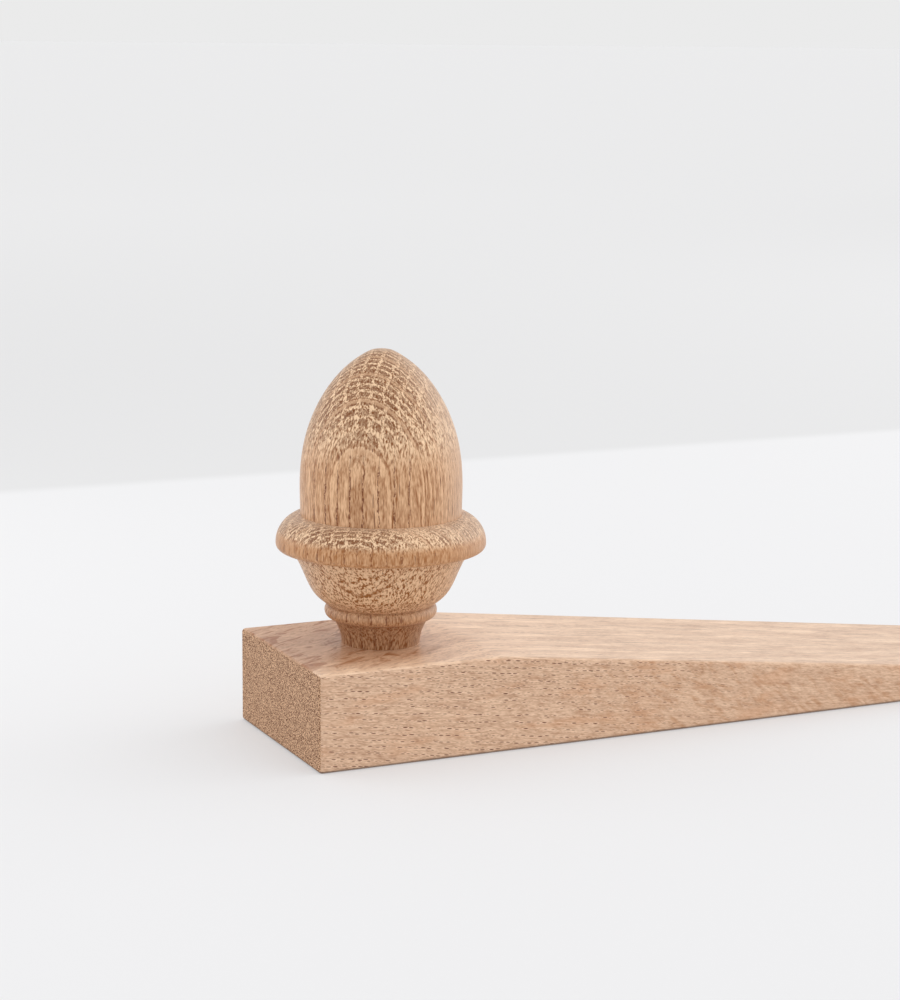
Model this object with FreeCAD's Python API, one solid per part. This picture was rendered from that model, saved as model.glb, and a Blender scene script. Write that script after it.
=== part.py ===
import FreeCAD, Part
import math
import os

# A door wedge: a sawn oak block that is level at its thick end and then slopes down to a thin
# tip, with a turned oak acorn standing on the level end as a handle. One countersunk wood screw,
# sunk below the sole, comes up through the block into the acorn.
# Millimetres. The origin is at the middle of the sole. +X points to the tip, +Z is up.

# The block
LENGTH = 220.0
WIDTH = 50.0
THICK = 22.5  # height of the level end
FLAT = 45.0  # length of the level end
TIP = 2.0  # height of the thin end
KINK_RADIUS = 30.0  # the sanded round where the level end turns into the ramp
EASE = 0.9  # radius of the sanded edges
EASE_TIP = 0.6  # and of those at the thin end
HANDLE_X = 25.4 - LENGTH / 2  # the acorn's axis, about half a width from the thick end
TOLERANCE = 0.01  # how near two places count as the same

# The acorn, as radii and heights above the top of the block
FOOT_R = 9.1
FOOT_WAIST = (9.7, 3.0)
FOOT_TOP = (11.3, 6.0)
BEAD_LIP = (11.7, 6.0)  # the small bead above the foot, with its narrow flat underside
BEAD = (13.1, 7.6)
BEAD_TOP = (12.4, 9.2)
CUP_SIDE = [(15.2, 11.6), (17.3, 15.1), (18.85, 18.7)]
CUP_TOP_R = 20.6
RIM_R = 24.4
RIM_Z = 23.9  # where the rim is widest
RIM_ROUND = 6.6  # radius of the rim's upper side
RIM_LIP = 2.3  # how far the rim's lower edge is rounded inwards
RIM_UNDER = 22.1
NUT_R = 18.7
NUT_SIDE = [(18.8, 37.5), (17.6, 48.0), (14.85, 55.5), (9.8, 62.95), (6.5, 65.95), (3.1, 68.1)]
ACORN_HEIGHT = 68.7

# The screw, 4.5 x 45 mm
SCREW_LENGTH = 45.0
SCREW_SUNK = 2.5  # how far the head lies inside the sole
HEAD_R = 4.4
HEAD_RIM = 0.4
SHANK_R = 1.65
CORE_R = 1.5
THREAD_R = 2.25
THREAD_PITCH = 2.2
THREAD_LENGTH = 27.0
THREAD_BURIED = 0.2  # how far the tooth's root lies inside the core
HALF_TOOTH = 0.45
SHANK_STEP = 0.5  # the short cone between shank and thread
POINT = 5.0
RECESS_R = 2.3
RECESS_WIDTH = 1.1
RECESS_DEPTH = 1.9
BORE_R = 5.0  # the sunk hole around the head
CLEARANCE_R = 2.5  # the hole through the block
PILOT_DEPTH = 27.0  # the hole up into the acorn


def point(x, z):
    return FreeCAD.Vector(x, 0, z)


def line(a, b):
    return Part.LineSegment(point(*a), point(*b)).toShape()


def arc(a, b, c):
    return Part.Arc(point(*a), point(*b), point(*c)).toShape()


def on_circle(centre, radius, degrees):
    turn = math.radians(degrees)
    return centre[0] + radius * math.cos(turn), centre[1] + radius * math.sin(turn)


def smooth(points, start, end):
    """A smooth curve through points, leaving along start and arriving along end."""
    curve = Part.BSplineCurve()
    curve.interpolate(
        Points=[point(*p) for p in points],
        InitialTangent=point(*start),
        FinalTangent=point(*end),
    )
    return curve.toShape()


def turned(edges):
    """The solid that a closed outline makes, turned about the Z axis."""
    face = Part.Face(Part.Wire(edges))
    return face.revolve(FreeCAD.Vector(0, 0, 0), FreeCAD.Vector(0, 0, 1), 360)


def block_outline():
    """The block from the side, with its thick end at -X."""
    back = -LENGTH / 2
    front = LENGTH / 2
    kink = back + FLAT
    slope = math.atan2(THICK - TIP, LENGTH - FLAT)
    reach = KINK_RADIUS * math.tan(slope / 2)
    level_end = (kink - reach, THICK)
    half_turn = math.degrees(slope) / 2
    round_middle = on_circle((kink - reach, THICK - KINK_RADIUS), KINK_RADIUS, 90 - half_turn)
    ramp_start = (kink + reach * math.cos(slope), THICK - reach * math.sin(slope))
    return [
        line((back, 0), (back, THICK)),
        line((back, THICK), level_end),
        arc(level_end, round_middle, ramp_start),
        line(ramp_start, (front, TIP)),
        line((front, TIP), (front, 0)),
        line((front, 0), (back, 0)),
    ]


def screw_way():
    """The hole for the screw: sunk, countersunk and then clear through the block."""
    cone_start = SCREW_SUNK + HEAD_RIM - (BORE_R - HEAD_R)
    cone_end = cone_start + BORE_R - CLEARANCE_R
    over = 1.0  # how far the cutter runs past both faces
    return turned([
        line((0, -over), (BORE_R, -over)),
        line((BORE_R, -over), (BORE_R, cone_start)),
        line((BORE_R, cone_start), (CLEARANCE_R, cone_end)),
        line((CLEARANCE_R, cone_end), (CLEARANCE_R, THICK + over)),
        line((CLEARANCE_R, THICK + over), (0, THICK + over)),
        line((0, THICK + over), (0, -over)),
    ])


def is_on_kink(edge):
    """Whether an edge lies across the block where the level end meets the ramp."""
    box = edge.BoundBox
    return box.YLength > WIDTH / 2 and abs(box.Center.x + LENGTH / 2 - FLAT) < KINK_RADIUS / 4


def is_at_tip(edge):
    return edge.BoundBox.XMin > LENGTH / 2 - TOLERANCE


def wedge_body():
    face = Part.Face(Part.Wire(block_outline()))
    face.translate(FreeCAD.Vector(0, -WIDTH / 2, 0))
    block = face.extrude(FreeCAD.Vector(0, WIDTH, 0))
    block = block.makeFillet(EASE, [e for e in block.Edges if not is_on_kink(e) and not is_at_tip(e)])
    block = block.makeFillet(EASE_TIP, [e for e in block.Edges if is_at_tip(e)])
    hole = screw_way()
    hole.translate(FreeCAD.Vector(HANDLE_X, 0, 0))
    return block.cut(hole)


def acorn_outline():
    rim_middle = (RIM_R - RIM_ROUND, RIM_Z)
    rim_top = (NUT_R, RIM_Z + math.sqrt(RIM_ROUND**2 - (NUT_R - rim_middle[0]) ** 2))
    lip_start = (RIM_R - RIM_LIP, RIM_UNDER)
    return [
        line((0, 0), (FOOT_R, 0)),
        arc((FOOT_R, 0), FOOT_WAIST, FOOT_TOP),
        line(FOOT_TOP, BEAD_LIP),
        arc(BEAD_LIP, BEAD, BEAD_TOP),
        smooth([BEAD_TOP] + CUP_SIDE + [(CUP_TOP_R, RIM_UNDER)], (1.0, 0.85), (0.5, 1.0)),
        line((CUP_TOP_R, RIM_UNDER), lip_start),
        smooth([lip_start, (RIM_R, RIM_Z)], (1, 0), (0, 1)),
        arc((RIM_R, RIM_Z), on_circle(rim_middle, RIM_ROUND, 45), rim_top),
        smooth([rim_top] + NUT_SIDE + [(0, ACORN_HEIGHT)], (0, 1), (-1, 0)),
        line((0, ACORN_HEIGHT), (0, 0)),
    ]


def acorn_handle():
    acorn = turned(acorn_outline())
    pilot = turned([
        line((0, 0), (CORE_R, 0)),
        line((CORE_R, 0), (CORE_R, PILOT_DEPTH - POINT)),
        line((CORE_R, PILOT_DEPTH - POINT), (0, PILOT_DEPTH)),
        line((0, PILOT_DEPTH), (0, 0)),
    ])
    acorn = acorn.cut(pilot)
    acorn.translate(FreeCAD.Vector(HANDLE_X, 0, THICK))
    return acorn


def screw_thread():
    """The thread's tooth, swept up a helix from the shank to the start of the point."""
    start = SCREW_LENGTH - THREAD_LENGTH
    root_r = CORE_R - THREAD_BURIED
    helix = Part.makeHelix(THREAD_PITCH, THREAD_LENGTH - POINT, root_r)
    tooth = Part.makePolygon([
        point(root_r, -HALF_TOOTH),
        point(THREAD_R, 0),
        point(root_r, HALF_TOOTH),
        point(root_r, -HALF_TOOTH),
    ])
    thread = Part.Wire(helix).makePipeShell([tooth], True, True)
    thread.translate(FreeCAD.Vector(0, 0, start))
    return thread


def handle_screw():
    neck = HEAD_RIM + HEAD_R - SHANK_R
    thread_start = SCREW_LENGTH - THREAD_LENGTH
    screw = turned([
        line((0, 0), (HEAD_R, 0)),
        line((HEAD_R, 0), (HEAD_R, HEAD_RIM)),
        line((HEAD_R, HEAD_RIM), (SHANK_R, neck)),
        line((SHANK_R, neck), (SHANK_R, thread_start)),
        line((SHANK_R, thread_start), (CORE_R, thread_start + SHANK_STEP)),
        line((CORE_R, thread_start + SHANK_STEP), (CORE_R, SCREW_LENGTH - POINT)),
        line((CORE_R, SCREW_LENGTH - POINT), (0, SCREW_LENGTH)),
        line((0, SCREW_LENGTH), (0, 0)),
    ])
    screw = screw.fuse(screw_thread())
    corner = FreeCAD.Vector(-RECESS_R, -RECESS_WIDTH / 2, 0)
    for turn in (0, 90):
        slot = Part.makeBox(2 * RECESS_R, RECESS_WIDTH, RECESS_DEPTH, corner)
        slot.rotate(FreeCAD.Vector(0, 0, 0), FreeCAD.Vector(0, 0, 1), turn)
        screw = screw.cut(slot)
    screw.translate(FreeCAD.Vector(HANDLE_X, 0, SCREW_SUNK))
    return screw


os.makedirs("parts", exist_ok=True)
for make in (wedge_body, acorn_handle, handle_screw):
    shape = make()
    shape.exportStep(f"parts/{make.__name__}.step")
    print(f"{make.__name__}: solids {len(shape.Solids)}, valid {shape.isValid()}, {shape.Volume:.0f} mm3")
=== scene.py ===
import math

import bpy
from mathutils import Matrix, Vector


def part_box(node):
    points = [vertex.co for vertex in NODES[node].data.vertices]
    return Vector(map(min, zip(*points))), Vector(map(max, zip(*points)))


# A door wedge of solid oak with a turned oak acorn for its handle, in metres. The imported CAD
# nodes keep their own meshes. This script gives them materials, and adds the room they stand in.
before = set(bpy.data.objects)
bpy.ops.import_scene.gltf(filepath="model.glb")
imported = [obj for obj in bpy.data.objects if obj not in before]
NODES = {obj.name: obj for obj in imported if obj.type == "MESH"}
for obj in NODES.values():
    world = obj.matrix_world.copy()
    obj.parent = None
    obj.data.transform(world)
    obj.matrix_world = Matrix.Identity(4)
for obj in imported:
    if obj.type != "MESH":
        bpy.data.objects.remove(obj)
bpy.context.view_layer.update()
MM = 0.001
BLACK = (0, 0, 0)
WHITE = (1, 1, 1, 1)  # with its alpha, for a socket

# The view: low over the thick end, looking along and across the wedge
LENS = 88.47
YAW = math.radians(25.082)
PITCH = math.radians(10.581)
ROLL = math.radians(-0.521)
CAMERA_AT = Vector((-0.30693, -0.51258, 0.16047))
CLIP_START = 0.01

# The room: a pale floor with a slightly darker far part
FLOOR_SIZE = 200.0
FLOOR_COLOUR = (0.785, 0.785, 0.795)
FLOOR_ROUGH = 0.9
FLOOR_GLOW = 0.35  # the part of the floor's light that no shadow takes away
GLOW_STRENGTH = FLOOR_GLOW * 1.12
EDGE_START = 332  # where the far part begins, in mm behind the wedge's middle
EDGE_END = 348
FAR_START = 340  # where the far part is darkest, and where it is palest
FAR_END = 1900
FAR_DARK = (0.712, 0.712, 0.717)
FAR_PALE = (0.771, 0.771, 0.776)

# The light: a dome that is weaker from the camera's side, with one part like a white wall
DOME_LEAST = 0.82
DOME_MORE = 0.6  # how much stronger it is from behind the object
WALL_LIGHT = 0.829

# The grooves where vessels meet a surface lie in cells, one to a cell
STRAY = (0.5, 0.2, 0.5)  # the middle part of a cell that its groove's centre may lie in
ROW_SLIDE = 7.0  # how many cells a row may be shifted along its length
GROOVE_REACH = (1.0, 0.3)  # from a groove's edge inwards, as squared distances in half sizes
HIGHLIGHT_REACH = (3.4, 1.3)  # and from its rim's edge inwards; the rim takes a painted highlight

# The block's fibres run along its ramp. Lengths in mm.
BLOCK_DIP = math.radians(7)  # how far they dip towards the tip
BLOCK_TILT = math.radians(11)  # the growth rings' slope across the block
FLECK_SLANT = math.radians(-34)  # the soft flecks' slope on the sides
BLOCK_YEAR = 1.58  # from one growth ring, and so one row of dashes, to the next
DASH_CELL = (1.9, BLOCK_YEAR, 8.0)
DASH_HALF = (0.78, 0.128, 5.5)
NICK_CELL = (1.7, BLOCK_YEAR / 2, 5.0)
NICK_HALF = (0.5, 0.1, 3.0)
THICK_LOOK = (-15, -75)  # along X, from the ramp's look to the thick end's
DASHES_X = (30, -60)  # along X, where the dashes grow clear
BURN_X = (-68, -86)  # the browner part of the level end
BURN_Y = (-26, -12)
COARSE_Y = (10, -22)  # on the ends, from the finer stipple to the coarser
CONTACT_SHADE_Z = (0.9, 0.2)  # painted contact shadow on the eased edge round the sole
SOLE_FACING = (-0.93, -0.99)  # and where it ends, as the surface turns to face down

# The acorn's fibres stand along Z, which is measured from its foot. Lengths in mm.
ACORN_LOW, ACORN_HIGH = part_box("acorn_handle")
ACORN_AXIS = (ACORN_LOW + ACORN_HIGH) / 2 / MM
ACORN_FOOT = ACORN_LOW.z / MM
ACORN_TURN = math.radians(-129)  # which way the growth rings face
ACORN_YEAR = 4.3  # from one bold growth ring to the next
FIRST_YEAR = 17.1  # how far from the axis one of them passes, towards the front
ROWS_A_YEAR = 4.0
RAY_GAP = 3.2  # from one pale ray to the next
RAY_START = 1.9  # how far beside the axis one of them passes
PORE_CELL = (6, 0.62, 0.66)
PORE_HALF = (2.6, 0.12, 0.12)

# Where the acorn's shapes start and end, each as the two heights that a soft step lies between
BEAD_START = (5.6, 6.1)
BEAD_END = (9.9, 9.2)
LIP_START = (22.0, 22.4)  # the rim's front
LIP_END = (27.4, 25.4)
FOOT_END = (6.2, 5.7)
LOW_CREASE_SHADE = ((5.3, 5.8), (6.3, 6.0))  # painted shade: the dark line in the crease under the bead
HIGH_CREASE_SHADE = ((8.7, 9.1), (9.7, 9.3))  # and the fainter painted shade in the crease above it

# How matt the surfaces are, and how deep their grain is in mm
SPECULAR = 0.3
SIDE_ROUGH = 0.36
END_ROUGH = 0.76
BLOCK_RELIEF = 0.08
ACORN_RELIEF = 0.14
ZINC_ROUGH = 0.32
ZINC_RELIEF = 0.02


def srgb(*values):
    """A colour given as it looks on a screen, from 0 to 255."""
    return tuple(((v / 255 + 0.055) / 1.055) ** 2.4 for v in values)


# The block's colours
FIBRE_DARK = srgb(120, 62, 18)
FIBRE_PALE = srgb(254, 221, 190)
FLECK_TAN = srgb(190, 130, 76)
BLUSH = srgb(212, 154, 112)
BURN_TAN = srgb(198, 144, 100)
SCORCH = srgb(154, 90, 40)
STIPPLE_DARK = srgb(98, 54, 22)
STIPPLE_PALE = srgb(226, 184, 148)
# painted highlight round the dashes
DASH_HIGHLIGHT = srgb(250, 216, 186)
DASH_DARK = srgb(98, 40, 8)
# painted contact shadow along the sole's edge
CONTACT_SHADE = srgb(84, 60, 46)

# The acorn's colours
CUT_DARK = srgb(134, 76, 26)  # where the surface cuts across the fibres
CUT_PALE = srgb(254, 217, 178)
CELL_BROWN = srgb(122, 68, 24)
RING_PALE = srgb(222, 178, 140)
RING_DARK = srgb(142, 84, 40)
CUP_BROWN = srgb(172, 112, 58)
SIDE_DARK = srgb(144, 84, 32)  # where it runs along them
SIDE_PALE = srgb(243, 198, 156)
RAY_DARK = srgb(108, 50, 16)
# paler quarter-sawn wood, with a painted sheen on the acorn's sides
QUARTER_SHEEN = srgb(214, 185, 160)
# the foot's browner wood, also used for painted shade under the bead and in its creases
FOOT_BROWN_AND_SHADE = srgb(114, 60, 24)
LIP_BROWN = srgb(178, 112, 48)
PORE_BROWN = srgb(106, 58, 32)

# The screw's colours
ZINC_DULL = srgb(168, 164, 150)
ZINC_BRIGHT = srgb(206, 204, 196)


# ---------------------------------------------------------------- numbers in materials


class Num:
    """A number at a point of a surface. Arithmetic on it makes the material's Math nodes."""

    def __init__(self, tree, socket):
        self.tree = tree
        self.socket = socket

    def math(self, kind, *others):
        node = self.tree.nodes.new("ShaderNodeMath")
        node.operation = kind
        for place, operand in enumerate((self, *others)):
            feed(self.tree, node.inputs[place], operand)
        return Num(self.tree, node.outputs[0])

    def __add__(self, other):
        return self.math("ADD", other)

    def __sub__(self, other):
        return self.math("SUBTRACT", other)

    def __mul__(self, other):
        return self.math("MULTIPLY", other)

    def __truediv__(self, other):
        return self.math("DIVIDE", other)

    def __rsub__(self, other):
        return (self * -1.0).math("ADD", other)

    __radd__ = __add__
    __rmul__ = __mul__

    def floor(self):
        return self.math("FLOOR")

    def fract(self):
        return self.math("FRACT")

    def abs(self):
        return self.math("ABSOLUTE")

    def most(self, other):
        return self.math("MAXIMUM", other)

    def least(self, other):
        return self.math("MINIMUM", other)

    def rise(self, low, high):
        """0 up to low, 1 from high, and smooth between. low may be the larger one."""
        node = self.tree.nodes.new("ShaderNodeMapRange")
        node.interpolation_type = "SMOOTHSTEP"
        feed(self.tree, node.inputs["Value"], self)
        flipped = low > high
        node.inputs["From Min"].default_value = min(low, high)
        node.inputs["From Max"].default_value = max(low, high)
        node.inputs["To Min"].default_value = 1.0 if flipped else 0.0
        node.inputs["To Max"].default_value = 0.0 if flipped else 1.0
        return Num(self.tree, node.outputs["Result"])


def feed(tree, socket, value):
    """Sets a socket to a plain value, or links it to the socket that a Num stands for."""
    if isinstance(value, Num):
        tree.links.new(value.socket, socket)
    else:
        socket.default_value = value


class Surface:
    """One material: its tree, the place on the object in mm, and the patterns made from them."""

    def __init__(self, name):
        self.material = bpy.data.materials.new(name)
        self.material.use_nodes = True
        self.tree = self.material.node_tree
        self.shader = self.tree.nodes["Principled BSDF"]
        place = self.tree.nodes.new("ShaderNodeTexCoord")
        self.x, self.y, self.z = [axis * (1 / MM) for axis in self.split(place.outputs["Object"])]
        self.facing = self.split(place.outputs["Normal"])

    def split(self, socket):
        node = self.tree.nodes.new("ShaderNodeSeparateXYZ")
        self.tree.links.new(socket, node.inputs[0])
        return [Num(self.tree, out) for out in node.outputs]

    def join(self, *parts):
        node = self.tree.nodes.new("ShaderNodeCombineXYZ")
        for place, part in enumerate(parts):
            feed(self.tree, node.inputs[place], part)
        return node.outputs[0]

    def noise(self, a, b, c, detail=2.0, rough=0.5, warp=0.0):
        """Smooth noise that changes over a length of about 1, mostly from -1 to 1."""
        node = self.tree.nodes.new("ShaderNodeTexNoise")
        self.tree.links.new(self.join(a, b, c), node.inputs["Vector"])
        node.inputs["Scale"].default_value = 1.0
        node.inputs["Detail"].default_value = detail
        node.inputs["Roughness"].default_value = rough
        node.inputs["Distortion"].default_value = warp
        return (Num(self.tree, node.outputs[0]) - 0.5) * 4.0

    def chance(self, a, b, c):
        """Three random numbers from 0 to 1, the same wherever a, b and c are the same."""
        node = self.tree.nodes.new("ShaderNodeTexWhiteNoise")
        node.noise_dimensions = "3D"
        self.tree.links.new(self.join(a, b, c), node.inputs["Vector"])
        return self.split(node.outputs["Color"])

    def mix(self, amount, low, high):
        """The colour low where amount is 0 and high where it is 1."""
        node = self.tree.nodes.new("ShaderNodeMix")
        node.data_type = "RGBA"
        feed(self.tree, node.inputs["Factor"], amount)
        sockets = [s for s in node.inputs if s.type == "RGBA"]
        for socket, colour in zip(sockets, (low, high)):
            feed(self.tree, socket, colour if isinstance(colour, Num) else (*colour, 1.0))
        result = [s for s in node.outputs if s.type == "RGBA"][0]
        return Num(self.tree, result)

    def vessels(self, along, ring, across, cell, half, shift, keep):
        """Short grooves where vessels meet the surface: one to a cell, in rows along the fibres.

        cell and half are a cell's lengths and half a groove's, in mm, each along the fibres,
        through the rings and across them. keep is the part of the cells that hold a groove, and
        shift tells two patterns apart. Gives the grooves and the narrow rims around them, where
        a painted highlight goes."""
        row = (ring / cell[1]).floor()
        column = (across / cell[2]).floor()
        slide = self.chance(row, column, shift)[0]
        steps = along / cell[0] + slide * ROW_SLIDE
        luck = self.chance(steps.floor(), row + column * 0.37, column + shift)
        spans = []
        for number, step, stray, length, reach in zip(
            luck, (steps, ring / cell[1], across / cell[2]), STRAY, cell, half
        ):
            offset = step.fract() - 0.5 - (number - 0.5) * stray
            spans.append(offset * (length / reach))
        far = spans[0] * spans[0] + spans[1] * spans[1] + spans[2] * spans[2]
        there = (luck[0] * 13.7 + luck[1] * 5.3).fract().rise(1 - keep, 1 - keep + 0.25)
        groove = far.rise(*GROOVE_REACH) * there
        return groove, far.rise(*HIGHLIGHT_REACH) * there * (1.0 - groove)

    def finish(self, colour, height, rough, relief):
        """Plugs colour, gloss and relief into the shader. A height of 1 is relief mm deep."""
        shader = self.shader
        feed(self.tree, shader.inputs["Base Color"], colour)
        feed(self.tree, shader.inputs["Roughness"], rough)
        shader.inputs["Specular IOR Level"].default_value = SPECULAR
        bump = self.tree.nodes.new("ShaderNodeBump")
        bump.inputs["Distance"].default_value = relief * MM
        bump.inputs["Strength"].default_value = 1.0
        feed(self.tree, bump.inputs["Height"], height)
        self.tree.links.new(bump.outputs["Normal"], shader.inputs["Normal"])
        return self.material


# ---------------------------------------------------------------- oak and zinc


def block_oak():
    """Sanded oak: dark dashes and soft flecks on the sides, flames on top, stipple on the ends."""
    wood = Surface("oak_board")
    x, y, z = wood.x, wood.y, wood.z

    # Places and directions in the wood
    along = x * math.cos(BLOCK_DIP) - z * math.sin(BLOCK_DIP)
    lift = z * math.cos(BLOCK_DIP) + x * math.sin(BLOCK_DIP)
    wave = wood.noise(along / 60, y / 22, lift / 22, detail=1) * 0.6
    ring = lift * math.cos(BLOCK_TILT) - y * math.sin(BLOCK_TILT) + wave
    across = y * math.cos(BLOCK_TILT) + lift * math.sin(BLOCK_TILT)
    end, side, top = [facing.abs().rise(0.5, 0.85) for facing in wood.facing]
    thick_end = x.rise(*THICK_LOOK)
    burn = x.rise(*BURN_X) * y.rise(*BURN_Y)

    # The patterns, from fine to coarse
    speck = wood.noise(along / 1.5, ring / 0.24, across / 0.4, detail=1)
    fibre = wood.noise(along / 3.5, ring / 0.36, across / 0.7, detail=3, rough=0.9)
    hair = wood.noise(along / 14, ring / 0.16, across / 1.2, detail=2, rough=0.7)
    thread = wood.noise(along / 24, ring / 0.6, across / 2, detail=2)
    streak = wood.noise(along / 12, ring / 1.6, across / 4, detail=2, warp=0.4)
    fleck_along = x * math.cos(FLECK_SLANT) + z * math.sin(FLECK_SLANT)
    fleck_across = z * math.cos(FLECK_SLANT) - x * math.sin(FLECK_SLANT)
    fleck = wood.noise(
        fleck_along / 5, fleck_across / 1.6, across / 9, detail=3, rough=0.6, warp=0.6
    )
    blush = wood.noise(along / 12, y / 8, z / 3.5, detail=1)
    flame = wood.noise(
        (x * 0.85 + y * 0.5) / 9, (y * 0.85 - x * 0.5) / 3, z / 8, detail=3, rough=0.6, warp=0.8
    )
    year = (ring / BLOCK_YEAR + thread * 0.08).fract()
    soft_year = year.rise(0.0, 0.25) * year.rise(0.8, 0.35)

    # The sides and the top
    tone = 0.71 + fibre * 0.27 + speck * (thick_end * 0.08 + 0.17) * (1.0 - top * 0.6)
    tone = tone + thread * (top * 0.04 + 0.05) + streak * (top * 0.05 + 0.08)
    tone = tone + fleck * side * (0.17 - thick_end * 0.07)
    # The top faces: paler sanded wood, and also painted light as from above; less where the level end
    # is browner
    top_tone_and_light = 0.12 + thick_end * 0.2 - burn * 0.34
    top_tone_and_light = top_tone_and_light + hair * (0.22 + thick_end * 0.26 - burn * 0.2)
    tone = tone + top * top_tone_and_light
    flat = wood.mix(tone.rise(-0.2, 1.4), FIBRE_DARK, FIBRE_PALE)
    flat = wood.mix(fleck.rise(0.1, -0.8) * side * (1.0 - thick_end) * 0.3, flat, FLECK_TAN)
    flat = wood.mix((blush.rise(0.0, 1.0) * 0.25 + 0.15) * (1.0 - top), flat, BLUSH)
    flat = wood.mix(burn * top * 0.4, flat, BURN_TAN)
    scorch = (flame + fibre * 0.15).rise(0.05, 0.5) * (0.08 + burn * 0.7)
    scorch = scorch + soft_year * 0.2 * (0.6 + hair * 1.2)
    flat = wood.mix(scorch * top, flat, SCORCH)

    # The ends, coarser towards the near side
    grit = wood.noise(x / 0.9, ring / 0.3, across / 0.27, detail=1, rough=1.0)
    coarse = 1.2 + y.rise(*COARSE_Y) * 0.8
    stipple = wood.mix((grit * coarse + 0.5).rise(0.0, 1.0), STIPPLE_DARK, STIPPLE_PALE)
    colour = wood.mix(end, flat, stipple)

    # The open vessels with painted highlights round them, and the painted contact shadow along the
    # lowest edge
    row = ring + speck * 0.04
    groove, groove_highlight = wood.vessels(along, row, across, DASH_CELL, DASH_HALF, shift=3.0, keep=0.95)
    nick, nick_highlight = wood.vessels(along, row, across, NICK_CELL, NICK_HALF, shift=8.0, keep=0.6)
    fade = (x.rise(*DASHES_X) * 0.85 + 0.15) * (1.0 - end) * (1.0 - top * 0.8)
    groove = (groove + nick * 0.6).least(1.0) * fade
    groove_highlight = groove_highlight.most(nick_highlight * 0.6) * fade
    # painted highlight on the rims round the grooves
    colour = wood.mix(groove_highlight * 0.4, colour, DASH_HIGHLIGHT)
    colour = wood.mix(groove, colour, DASH_DARK)
    # painted contact shadow along the eased edge round the sole, fading out on the sole itself
    contact_shade = z.rise(*CONTACT_SHADE_Z) * (1.0 - wood.facing[2].rise(*SOLE_FACING))
    colour = wood.mix(contact_shade * 0.8, colour, CONTACT_SHADE)
    height = fibre * 0.1 + grit * end * 0.1 - groove * 0.15
    rough = end * (END_ROUGH - SIDE_ROUGH) + SIDE_ROUGH
    return wood.finish(colour, height, rough, BLOCK_RELIEF)


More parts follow.
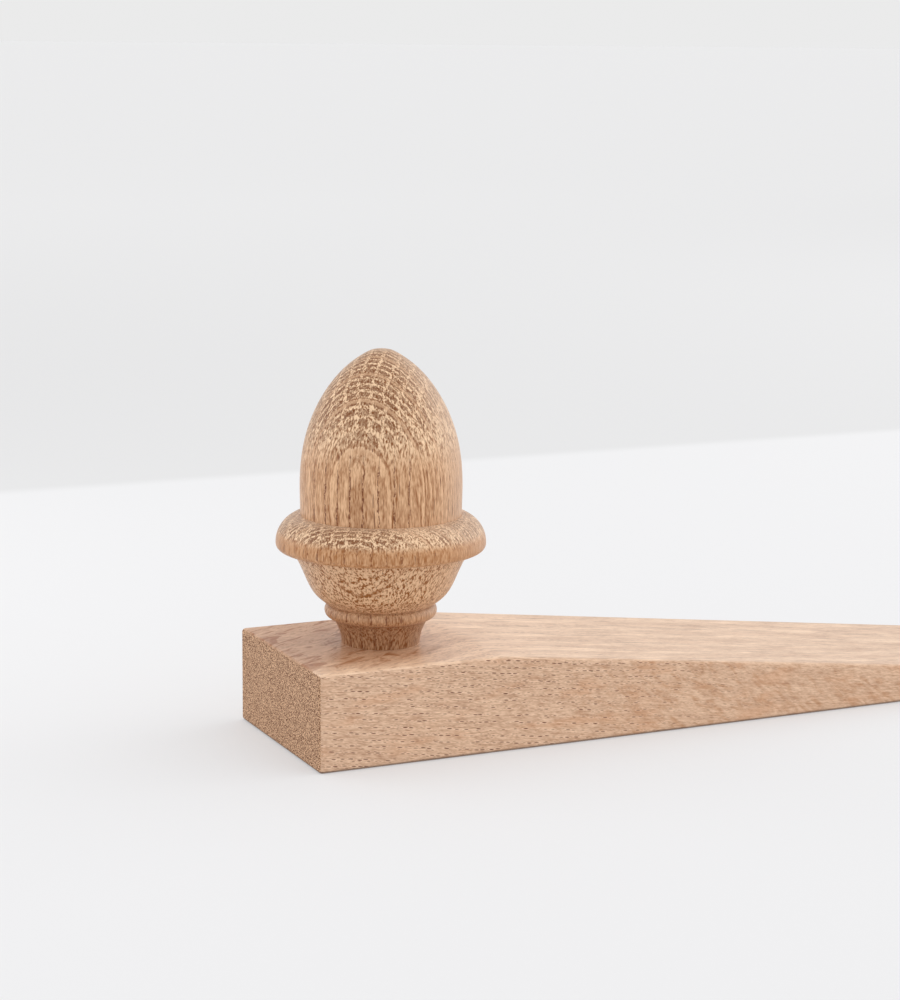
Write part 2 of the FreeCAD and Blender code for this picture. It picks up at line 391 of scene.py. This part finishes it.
def acorn_oak():
    """Turned oak, fibres upright: arches and stripes on its sides, rows of dark pores above."""
    wood = Surface("oak_turning")
    x = wood.x - ACORN_AXIS.x
    y = wood.y - ACORN_AXIS.y
    z = wood.z - ACORN_FOOT

    # Places and directions in the wood
    outward = (math.cos(ACORN_TURN), math.sin(ACORN_TURN))
    wave = wood.noise(x / 26, y / 26, z / 60, detail=1) * 0.5
    ring = x * outward[0] + y * outward[1] + wave
    sway = wood.noise(x / 9, y / 9, z / 30, detail=1) * 0.35
    across = y * outward[0] - x * outward[1] + sway
    facing_ring = (wood.facing[0] * outward[0] + wood.facing[1] * outward[1]).abs()
    front = facing_ring.rise(0.6, 0.9)
    quarter_sheen = facing_ring.rise(0.65, 0.15)  # where the surface lies along the rays: paler quarter-sawn wood, and a painted sheen on the acorn's sides

    # The turned shapes
    bead = z.rise(*BEAD_START) * z.rise(*BEAD_END)
    lip = z.rise(*LIP_START) * z.rise(*LIP_END)
    smooth = bead.most(lip)
    foot = z.rise(*FOOT_END)
    end = wood.facing[2].abs().rise(0.08, 0.3) * (1.0 - smooth) * (1.0 - foot * 0.7)
    under = wood.facing[2].rise(0.0, -0.3)
    steep = wood.facing[2].rise(0.5, 0.25) * (1.0 - under)
    low_crease_shade, high_crease_shade = [z.rise(*start) * z.rise(*stop) for start, stop in (LOW_CREASE_SHADE, HIGH_CREASE_SHADE)]
    crease_shade = low_crease_shade + high_crease_shade * 0.5

    # The patterns
    jag = wood.noise(ring / 0.8, across / 0.9, z / 3, detail=2, rough=0.8)
    drag = wood.noise(ring / 0.9 + 40.0, across / 1.2, z / 3, detail=2, rough=0.8)
    grit = wood.noise(ring / 0.5, across / 0.6, z / 2.2, detail=3, rough=1.0)
    speck = wood.noise(ring / 0.3, across / 0.4, z / 1.8, detail=1)
    web = wood.noise(ring / 0.75, across / 1.1, z / 3, detail=2, rough=0.6, warp=0.5)
    fibre = wood.noise(ring / 0.5, across / 0.5, z / 6, detail=3, rough=1.0)
    streak = wood.noise(ring / 1.3, across / 1.1, z / 40, detail=2, warp=0.2)
    blot = wood.noise(ring / 6, across / 5, z / 8, detail=2)
    dart = wood.noise(ring / 0.34, across / 2.2, z / 1.2, detail=2, rough=0.8) * under
    thread = web.abs().rise(0.2, 0.05)

    # The growth rings: bold ones, and the rows between them
    years = (ring + jag * 0.12 - FIRST_YEAR) / ACORN_YEAR
    bold = years.fract()
    plain = (1.0 - smooth) * ring.rise(22, 20)
    bold_pale = bold.rise(0.0, 0.03) * bold.rise(0.13, 0.085) * plain
    bold_dark = (bold.rise(0.94, 0.97) + bold.rise(0.015, 0.0)) * plain
    rows = years * ROWS_A_YEAR
    phase = rows.fract()
    band = phase.rise(0.02, 0.18) * phase.rise(0.84, 0.62)

    # The rays, which cut each row into cells
    shift = wood.chance(rows.floor(), 1.0, 5.0)
    column = (across + drag * 0.35 + RAY_START) / RAY_GAP
    brick = column + (shift[0] - 0.5) * 0.35
    from_ray = ((column + 0.5).fract() - 0.5).abs()
    from_gap = ((brick + 0.5).fract() - 0.5).abs()
    luck = wood.chance(rows.floor(), brick.floor(), 2.0)
    wear = 1.0 - across.rise(2, 12) * 0.42 - under * 0.68 - foot * 0.4
    wear = wear - wood.facing[2].abs().rise(0.45, 0.2) * 0.3
    wear = wear - ring.rise(12.5, 17.0) * (1.0 - under) * 0.2
    cell = band * (from_gap - luck[1] * 0.07).rise(0.03, 0.12)
    cell = cell * (luck[0] * 0.6 + 0.64 + blot * 0.2) * wear
    cell = (cell + grit * 0.17 + speck * 0.06).rise(0.38, 0.6)

    # Where the surface cuts across the fibres
    mottle = grit * (0.45 - under * 0.15) + speck * (0.6 + under * 0.3)
    mottle = (mottle + dart * 1.1 + 0.6 + under * 0.08).rise(0.0, 1.0)
    ends = wood.mix(mottle, CUT_DARK, CUT_PALE)
    ends = wood.mix(cell * (0.82 - thread * 0.5 - steep * 0.3), ends, CELL_BROWN)
    ends = wood.mix(bold_pale * (0.6 - under * 0.4), ends, RING_PALE)
    ends = wood.mix(bold_dark * 0.55, ends, RING_DARK)
    ends = wood.mix(under * 0.3, ends, CUP_BROWN)

    # Where it runs along them
    line = (phase.rise(0.0, 0.3) * phase.rise(0.95, 0.6) - 0.5) * (1.0 - smooth * 0.7)
    tone = 0.53 + streak * 0.08 + fibre * 0.32 + speck * (0.22 + foot * 0.3)
    tone = tone - line * 0.13 + bold_pale * 0.2 - bold_dark * 0.2 - lip * 0.04
    side = wood.mix(tone.rise(0.0, 1.0), SIDE_DARK, SIDE_PALE)
    beads = wood.noise(ring / 3, column.floor() * 5.3, z / 0.9, detail=2)
    stroke = from_ray.rise(0.06, 0.02) * (beads * 0.4 + 0.2 + bead * 0.3).rise(0.0, 0.2) * front
    side = wood.mix(stroke * 0.85, side, RAY_DARK)

    # All of it, with the darker foot, bead and rim: browner wood on the foot and bead, and painted
    # shade under the bead and in its creases
    colour = wood.mix(end, side, ends)
    # painted sheen on the sides, with the paler quarter-sawn wood
    colour = wood.mix(quarter_sheen * 0.35, colour, QUARTER_SHEEN)
    # The foot and bead are browner wood; the foot's brown also paints the shade under the bead, and
    # the crease lines are painted shade
    shade = (foot * 0.47).most(bead * 0.22).most(crease_shade * 0.6)
    colour = wood.mix(shade, colour, FOOT_BROWN_AND_SHADE)
    colour = wood.mix(lip * 0.3, colour, LIP_BROWN)
    pore, _ = wood.vessels(z, ring, across, PORE_CELL, PORE_HALF, shift=11.0, keep=0.5)
    colour = wood.mix(pore * 0.85, colour, PORE_BROWN)
    height = fibre * 0.1 + grit * 0.15 + thread * end * 0.2 - cell * end * 0.4
    height = height - (stroke + pore) * 0.15
    return wood.finish(colour, height, SIDE_ROUGH, ACORN_RELIEF)


def screw_zinc():
    zinc = Surface("screw_zinc")
    scuff = zinc.noise(zinc.x / 0.4, zinc.y / 0.4, zinc.z / 3, detail=3)
    colour = zinc.mix((scuff * 0.5 + 0.5).rise(0.2, 0.9), ZINC_DULL, ZINC_BRIGHT)
    zinc.shader.inputs["Metallic"].default_value = 1.0
    return zinc.finish(colour, scuff, ZINC_ROUGH, ZINC_RELIEF)


def dress(node, material):
    for slot in NODES[node].material_slots:
        slot.material = material


# ---------------------------------------------------------------- room


def link(name, data):
    thing = bpy.data.objects.new(name, data)
    bpy.context.scene.collection.objects.link(thing)
    return thing


def make_camera():
    flat = math.cos(PITCH)
    forward = Vector((math.sin(YAW) * flat, math.cos(YAW) * flat, -math.sin(PITCH)))
    level = Vector((math.cos(YAW), -math.sin(YAW), 0))
    down = forward.cross(level)
    right = math.cos(ROLL) * level + math.sin(ROLL) * down
    up = math.sin(ROLL) * level - math.cos(ROLL) * down
    camera = link("camera", bpy.data.cameras.new("camera"))
    camera.data.lens = LENS
    camera.data.clip_start = CLIP_START
    turn = Matrix((right, up, -forward)).transposed().to_4x4()
    camera.matrix_world = Matrix.Translation(CAMERA_AT) @ turn
    bpy.context.scene.camera = camera


def make_stage():
    """A floor whose far part is a shade darker and stands for a wall."""
    half = FLOOR_SIZE / 2
    corners = [(-half, -half, 0), (half, -half, 0), (half, half, 0), (-half, half, 0)]
    mesh = bpy.data.meshes.new("floor")
    mesh.from_pydata(corners, [], [(0, 1, 2, 3)])
    paper = Surface("paper")
    far = paper.mix(paper.y.rise(FAR_START, FAR_END), FAR_DARK, FAR_PALE)
    colour = paper.mix(paper.y.rise(EDGE_START, EDGE_END), FLOOR_COLOUR, far)
    shaded = paper.mix(FLOOR_GLOW, colour, BLACK)
    feed(paper.tree, paper.shader.inputs["Base Color"], shaded)
    feed(paper.tree, paper.shader.inputs["Emission Color"], colour)
    paper.shader.inputs["Emission Strength"].default_value = GLOW_STRENGTH
    paper.shader.inputs["Roughness"].default_value = FLOOR_ROUGH
    mesh.materials.append(paper.material)
    link("floor", mesh)


def area_light(name, at, target, size, watts):
    data = bpy.data.lights.new(name, "AREA")
    data.shape = "RECTANGLE"
    data.size, data.size_y = size
    data.energy = watts
    light = link(name, data)
    light.location = at
    light.visible_camera = False
    light.rotation_euler = (Vector(target) - Vector(at)).to_track_quat("-Z", "Y").to_euler()


def make_light():
    """Soft white light from all round, a faint window, and a weak light on the far edges."""
    world = bpy.data.worlds.new("world")
    world.use_nodes = True
    tree = world.node_tree
    ray = tree.nodes.new("ShaderNodeTexCoord")
    split = tree.nodes.new("ShaderNodeSeparateXYZ")
    tree.links.new(ray.outputs["Generated"], split.inputs[0])
    x, y, z = [Num(tree, split.outputs[axis]) for axis in "XYZ"]
    behind = x * math.sin(YAW) + y * math.cos(YAW)
    wall = y.rise(-0.05, 0.1) * z.rise(0.98, 0.9)
    dome = behind.rise(-1.0, 0.4) * DOME_MORE + DOME_LEAST
    sky = tree.nodes["Background"]
    sky.inputs["Color"].default_value = WHITE
    feed(tree, sky.inputs["Strength"], dome * (1.0 - wall) + wall * WALL_LIGHT)
    bpy.context.scene.world = world
    area_light("window", at=(1.2, 0.2, 0.6), target=(0, 0, 0.05), size=(1.2, 1.0), watts=3.6)
    area_light("rim_light", at=(-0.42, 0.28, 0.2), target=(-0.1, 0, 0.05), size=(0.3, 0.3), watts=0.32)
    bpy.context.scene.view_settings.view_transform = "Standard"


make_camera()
make_stage()
make_light()
dress("wedge_body", block_oak())
dress("acorn_handle", acorn_oak())
dress("handle_screw", screw_zinc())
